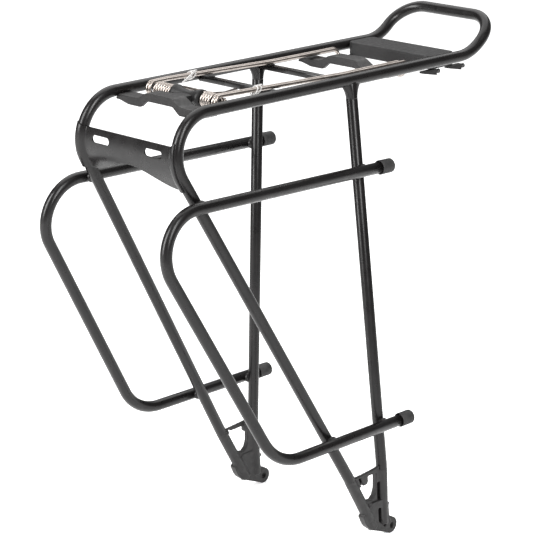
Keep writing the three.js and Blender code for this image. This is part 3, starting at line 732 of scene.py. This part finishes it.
def front_plate():
    columns, rows = 150, 40
    half = RAIL_Y + PLATE_REACH_PAST_CROWN
    verts = []
    for skin in (PLATE_THICKNESS, 0.0):
        for i in range(columns + 1):
            across = 2 * i / columns - 1
            for j in range(rows + 1):
                t = j / rows
                z = plate_low_edge(across * half) * (1 - t) + plate_top_edge(across) * t
                y = across * (half + (leg_y(z) - RAIL_Y) * abs(across) ** 6)
                verts.append((bend_point(sheet_radius(y, z, skin), z), y, z))
    stride = rows + 1
    back = (columns + 1) * stride
    faces = []
    for i in range(columns):
        for j in range(rows):
            a = i * stride + j
            faces.append([a, a + 1, a + stride + 1, a + stride])
            faces.append([back + a, back + a + stride, back + a + stride + 1, back + a + 1])
    for i in range(columns):
        low, high = i * stride, i * stride + rows
        faces.append([low, low + stride, back + low + stride, back + low])
        faces.append([high, back + high, back + high + stride, high + stride])
    for j in range(rows):
        last = columns * stride + j
        faces.append([j, back + j, back + j + 1, j + 1])
        faces.append([last, last + 1, back + last + 1, back + last])
    plate = mesh_object("front_stay_plate", verts, faces)
    cutters = [
        prism(f"slot_{label}", plate_slot_outline(side), along_frame, BEND_X - 60, BEND_X, 0)
        for label, side in SIDES
    ]
    for cutter in cutters:
        cut = plate.modifiers.new("slot", "BOOLEAN")
        cut.operation = "DIFFERENCE"
        cut.solver = "EXACT"
        cut.object = cutter
    bake(plate)
    for cutter in cutters:
        bpy.data.objects.remove(cutter)
    soften(plate, 0.35, 2, 50.0)
    add(plate, PAINT, "rack", ("front_plate",))


front_plate()


# ---- crossbars, bridges and rear plate ---------------------------------------------------
def crossbar(name, centre_x):
    half = CROSSBAR_WIDTH / 2
    low = CROSSBAR_TOP - CROSSBAR_HEIGHT
    corners = [(-half, low), (half, low), (half, CROSSBAR_TOP), (-half, CROSSBAR_TOP)]
    outline = [(centre_x + u, v) for u, v in rounded_outline(corners, 1.7)]
    reach = RAIL_INNER_Y + 0.6
    bar = prism(name + "_bar", outline, across_frame, -reach, reach, 0)
    add(bar, PAINT, "rack", (name,))
    edge, foot, top = half - 1, low + 2, CROSSBAR_PAD_TOP
    pad_corners = [(-edge, foot), (edge, foot), (edge, top), (-edge, top)]
    pad_outline = [(centre_x + u, v) for u, v in rounded_outline(pad_corners, 0.5)]
    for label, side in SIDES:
        low_y, high_y = sorted(side * y for y in CROSSBAR_PAD_Y)
        pad = prism(f"{name}_pad_{label}", pad_outline, across_frame, low_y, high_y, 0.5)
        add(pad, PLASTIC, "rack")
        weld = lathe(
            f"{name}_weld_{label}",
            [(0, -2.2), (3.3, -2.2), (3.2, -1.2), (3.0, 0.6), (2.6, 2.4), (0, 2.4)],
            (centre_x, side * RAIL_INNER_Y, CROSSBAR_TOP - CROSSBAR_HEIGHT / 2),
            (0, -side, 0),
            28,
        )
        add(weld, PAINT, "rack")


def bridge_section(thickness):
    """Across the rack: raised in the middle, down to the rails and hooked under each of them."""
    low = RAIL_Z - 1.8
    under_rail = RAIL_Z - TUBE_RADIUS - 0.3
    half_outline = [
        (15.6, BRIDGE_CREST_Z), (25.8, low), (RAIL_INNER_Y - 0.2, low),
        (RAIL_INNER_Y + 2.8, under_rail), (RAIL_INNER_Y + 2.8, under_rail - BRIDGE_LIP),
        (RAIL_INNER_Y - 1.2, under_rail - BRIDGE_LIP), (38.0, low - thickness),
        (23.5, low - thickness), (16.0, BRIDGE_CREST_Z - thickness),
    ]
    corners = half_outline + [(-u, v) for u, v in reversed(half_outline)]
    radii = [2.5, 2.5, 0.3, 0.5, 0.5, 1.0, 2.0, 1.6, 1.6]
    return rounded_outline(corners, radii + radii[::-1])


def bridge(name, front_x):
    """A cast channel: a deep front wall, a thin top behind it and a solid middle boss."""
    back_x = front_x + BRIDGE_DEPTH
    wall_x = front_x + BRIDGE_WALL_DEPTH
    boss_corners = [(u * BRIDGE_BOSS_HALF_WIDTH, BRIDGE_CREST_Z - v)
                    for u, v in ((-1, BRIDGE_THICKNESS), (1, BRIDGE_THICKNESS), (1, 1), (-1, 1))]
    parts = [
        prism("wall", bridge_section(BRIDGE_THICKNESS), along_frame, front_x, wall_x, 0),
        prism("top", bridge_section(BRIDGE_TOP_THICKNESS), along_frame, front_x, back_x, 0),
        prism("boss", boss_corners, along_frame, front_x, back_x, 0),
    ]
    bar = cast_skin(joined(name + "_casting", parts), 0.5)
    add(bar, CASTING, "rack", (name,))


for name, centre_x in CROSSBARS.items():
    crossbar(name, centre_x)
for name, front_x in BRIDGES.items():
    bridge(name, front_x)


def rear_plate():
    half_y = RAIL_INNER_Y - 0.3
    x0, x1, z0, z1 = (REAR_PLATE[key] for key in ("x0", "x1", "z0", "z1"))
    corners = [(x0, -half_y), (x1, -half_y), (x1, half_y), (x0, half_y)]
    outline = rounded_outline(corners, [9.0, 6.0, 6.0, 9.0], 10)
    block = prism("rear_light_plate", outline, lambda u, v, w: (u, v, w), z0, z1, 1.3, 5)
    add(block, PLASTIC, "rack", ("rear_plate",))


rear_plate()

for place in ("front", "rear"):
    for label, side in SIDES:
        node = f"strap_hook_{place}_{label}"
        hook = bpy.data.objects.new(f"hook_{place}_{label}", frame["nodes"][node].data.copy())
        bpy.context.scene.collection.objects.link(hook)
        soften(hook, 0.45, 3)
        add(hook, PLASTIC, "rack", (node,))
        pin_node = f"hook_pin_{place}_{label}"
        low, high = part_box(pin_node)
        middle = (low + high) / 2 / MM
        length = (high.x - low.x) / MM
        pin = lathe(
            f"pin_{place}_{label}",
            [(0, 0), (1.5, 0), (1.5, length - 1.9), (2.05, length - 1.7), (2.05, length - 0.4),
             (1.7, length - 0.05), (0, length - 0.05)],
            (low.x / MM, middle.y, middle.z),
            (1, 0, 0),
            32,
        )
        add(pin, DARK_STEEL, "rack", (pin_node,))


# ---- sprung clamp -----------------------------------------------------------------------
def clamp_spool():
    half = SPOOL_HALF_LENGTH
    profile = [(0, -half), (SPOOL_FLANGE_RADIUS - 0.5, -half), (SPOOL_FLANGE_RADIUS, -half + 0.5)]
    steps = 28
    for k in range(steps + 1):
        t = k / steps
        y = -half + SPOOL_LAND + 2 * (half - SPOOL_LAND) * t
        dip = math.sin(math.pi * t) ** 0.8 if 0 < t < 1 else 0.0
        profile.append((SPOOL_FLANGE_RADIUS - (SPOOL_FLANGE_RADIUS - SPOOL_WAIST_RADIUS) * dip, y))
    profile += [(SPOOL_FLANGE_RADIUS, half - 0.5), (SPOOL_FLANGE_RADIUS - 0.5, half), (0, half)]
    spool = lathe("clamp_barrel", profile, (CLAMP_X, SPOOL_CENTRE_Y, CLAMP_Z), (0, 1, 0), 56)
    add(spool, PLASTIC, "rack", ("clamp_spool",))
    neck_front = BRIDGES["bridge_front"] + BRIDGE_DEPTH - 0.5
    low, high = SPOOL_NECK_Z
    corners = [(neck_front, low), (CLAMP_X, low), (CLAMP_X, high), (neck_front, high)]
    neck = prism("clamp_neck", rounded_outline(corners, 0.8), across_frame,
                 SPOOL_CENTRE_Y - SPOOL_NECK_HALF_WIDTH,
                 SPOOL_CENTRE_Y + SPOOL_NECK_HALF_WIDTH, 0.8)
    add(neck, PLASTIC, "rack")
    keel_corners = [(-3, -SPOOL_KEEL_DEPTH), (3, -SPOOL_KEEL_DEPTH), (3, 0), (-3, 0)]
    keel_outline = [(CLAMP_X + u, CLAMP_Z + v) for u, v in rounded_outline(keel_corners, 1.2)]
    keel = prism("clamp_keel", keel_outline, across_frame,
                 SPOOL_CENTRE_Y - half + 2.5, SPOOL_CENTRE_Y + half - 2.5, 0.8)
    add(keel, PLASTIC, "rack")


def clamp_axle():
    for label, side in SIDES:
        inner = abs(SPOOL_CENTRE_Y * side + SPOOL_HALF_LENGTH) - 0.5
        length = AXLE_HALF_LENGTH - inner
        profile = [(0, 0), (AXLE_RADIUS, 0), (AXLE_RADIUS, length - 0.3), (AXLE_RADIUS - 0.3, length),
                   (AXLE_BORE_RADIUS, length), (AXLE_BORE_RADIUS, length - AXLE_BORE_DEPTH),
                   (0, length - AXLE_BORE_DEPTH)]
        start = (CLAMP_X, side * inner, CLAMP_Z)
        tube = lathe(f"axle_end_{label}", profile, start, (0, side, 0), 36)
        add(tube, DARK_STEEL, "rack", ("clamp_axle",) if side < 0 else ())


def spring_coil(label, side):
    start_y, turn_count = COILS[label]
    per_turn = 40
    points = []
    for i in range(int(turn_count * per_turn) + 1):
        turns = i / per_turn
        angle = side * 2 * math.pi * turns + math.pi / 2
        points.append(Vector((
            CLAMP_X + COIL_RADIUS * math.cos(angle),
            side * (start_y + COIL_PITCH * turns),
            CLAMP_Z + COIL_RADIUS * math.sin(angle),
        )))
    wire = swept_tube(f"spring_{label}", points, COIL_WIRE_RADIUS, 18)
    node = f"spring_coil_{label}"
    add(wire, WIRE, "clamp_bow", (node,))


def bow_wire(name, y, eye_y, rear_x, drop_z):
    eye = []
    eye_steps = 56
    for i in range(eye_steps):
        angle = math.radians(EYE_START - EYE_SWEEP * i / eye_steps)
        eye.append(Vector((
            CLAMP_X + COIL_RADIUS * math.cos(angle), eye_y, CLAMP_Z + COIL_RADIUS * math.sin(angle),
        )))
    arm = [
        Vector((CLAMP_X, eye_y, CLAMP_Z + COIL_RADIUS)),
        Vector((CLAMP_X + WIRE_JOG_LENGTH, y, CLAMP_Z + COIL_RADIUS)),
        Vector((WIRE_REST_X, y, WIRE_REST_Z)),
        Vector((rear_x, y, WIRE_REST_Z)),
        Vector((rear_x, y - WIRE_DROP_LEAN, drop_z)),
    ]
    bow = rounded_path(arm + mirrored(arm), WIRE_BENDS + WIRE_BENDS[::-1], 6.0)
    wire = swept_tube(name + "_bar", eye + bow + mirrored(eye), WIRE_RADIUS, 20)
    add(wire, WIRE, "clamp_bow", (name,))


def reaction_wire():
    path = rounded_path(REACTION_ROUTE, REACTION_BENDS, 8.0)
    wire = swept_tube("reaction_spring", path, REACTION_WIRE_RADIUS, 18)
    node = "spring_reaction_wire"
    add(wire, WIRE, "rack", (node,))


def arm_z(x):
    share = (x - CLAMP_X) / (WIRE_REST_X - CLAMP_X)
    return CLAMP_Z + COIL_RADIUS + (WIRE_REST_Z - CLAMP_Z - COIL_RADIUS) * share


def wire_tie(label, side):
    """A strand wound slantwise round both wires of one arm; the right-hand one has a tail."""
    centre_x = TIE_X[label]
    inner, outer = (BOW_WIRES[name]["y"] for name in ("clamp_wire_inner", "clamp_wire_outer"))
    middle_y = side * (inner + outer) / 2
    reach_y = (outer - inner) / 2 + WIRE_RADIUS + TIE_RADIUS + TIE_SLACK["y"]
    reach_z = WIRE_RADIUS + TIE_RADIUS + TIE_SLACK["z"]
    steps = 96
    path = []
    for k in range(steps + 1):
        turns = TIE_TURNS * k / steps
        angle = 2 * math.pi * turns + math.pi / 2
        lean = TIE_LEAN * math.sin(angle) + TIE_PITCH * (turns - TIE_TURNS / 2)
        path.append(Vector((
            centre_x + lean,
            middle_y + reach_y * math.cos(angle),
            arm_z(centre_x) + reach_z * math.sin(angle),
        )))
    node = f"wire_tie_{label}"
    add(swept_tube(f"tie_strand_{label}", path, TIE_RADIUS, 16), TIE, "clamp_bow", (node,))
    if side > 0:
        route = [path[-1], path[-1] + Vector((-7.0, -5.0, 0.6)), TIE_TAIL_END]
        tail = swept_tube(f"tie_tail_{label}", rounded_path(route, [8.0]), TIE_RADIUS * 1.3, 16)
        add(tail, TIE, "clamp_bow")


clamp_spool()
clamp_axle()
for label, side in SIDES:
    spring_coil(label, side)
    wire_tie(label, side)
for name, wire in BOW_WIRES.items():
    bow_wire(name, **wire)
reaction_wire()

# ---- floor, lights and camera -------------------------------------------------------------
FLOOR_REACH = 9.0
FLOOR_DROP = 0.05
FLOOR_GLOW = 0.4
SKY_STRENGTH = 0.2
# azimuth, elevation, distance in metres, size in metres, watts
SOFTBOXES = {
    "key_left": (-106, 28, 2.0, (0.7, 1.6), 58.0),
    "key_right": (-20, 36, 2.0, (0.45, 1.4), 36.0),
    "floor_wash": (136, 62, 2.6, (3.2, 3.2), 75.0),
}
CAMERA_AZIMUTH = -44.17
CAMERA_ELEVATION = 16.93
CAMERA_ROLL = -0.42
CAMERA_DISTANCE = 1.8586
CAMERA_TARGET = Vector((-70.9, 0.0, 238.8)) * MM
FOCAL_LENGTH = 144.8


def direction(azimuth, elevation):
    """From the object towards a viewer; azimuth 0 is on the -Y side."""
    a, e = math.radians(azimuth), math.radians(elevation)
    return Vector((math.sin(a) * math.cos(e), -math.cos(a) * math.cos(e), math.sin(e)))


def look(obj, towards_viewer, roll=0.0):
    turn = towards_viewer.to_track_quat("Z", "Y")
    obj.rotation_euler = (turn @ Quaternion((0, 0, 1), math.radians(roll))).to_euler()


def softbox(name, azimuth, elevation, distance, size, power):
    light = bpy.data.lights.new(name, "AREA")
    light.shape = "RECTANGLE"
    light.size, light.size_y = size
    light.energy = power
    lamp = bpy.data.objects.new(name, light)
    towards = direction(azimuth, elevation)
    lamp.location = CAMERA_TARGET + towards * distance
    look(lamp, towards)
    bpy.context.scene.collection.objects.link(lamp)


def floor():
    level = cad_box[0][2] / MM - FLOOR_DROP
    r = FLOOR_REACH / MM
    verts = [(-r, -r, level), (r, -r, level), (r, r, level), (-r, r, level)]
    plane = mesh_object("studio_floor", verts, [[0, 1, 2, 3]], smooth=False)
    f = Finish("pale_floor", Specular_IOR_Level=0.2)
    f.colours(f.noise(3.0, 2.0), (0.93, 0.93, 0.93), (0.96, 0.96, 0.96))
    f.roughness(f.noise(8.0, 2.0), 0.6, 0.75)
    f.shader.inputs["Emission Color"].default_value = (1.0, 1.0, 1.0, 1.0)
    f.shader.inputs["Emission Strength"].default_value = FLOOR_GLOW
    plane.data.materials.append(f.material)


def world():
    studio = bpy.data.worlds.new("studio")
    bpy.context.scene.world = studio
    studio.use_nodes = True
    background = studio.node_tree.nodes["Background"]
    background.inputs["Color"].default_value = (1.0, 1.0, 1.0, 1.0)
    background.inputs["Strength"].default_value = SKY_STRENGTH


def camera():
    data = bpy.data.cameras.new("view")
    data.sensor_width = 36.0
    data.lens = FOCAL_LENGTH
    data.clip_end = 50.0
    obj = bpy.data.objects.new("view", data)
    towards = direction(CAMERA_AZIMUTH, CAMERA_ELEVATION)
    obj.location = CAMERA_TARGET + towards * CAMERA_DISTANCE
    look(obj, towards, CAMERA_ROLL)
    bpy.context.scene.collection.objects.link(obj)
    bpy.context.scene.camera = obj


bpy.context.scene.view_settings.view_transform = "Standard"
world()
floor()
for name, settings in SOFTBOXES.items():
    softbox(name, *settings)
camera()
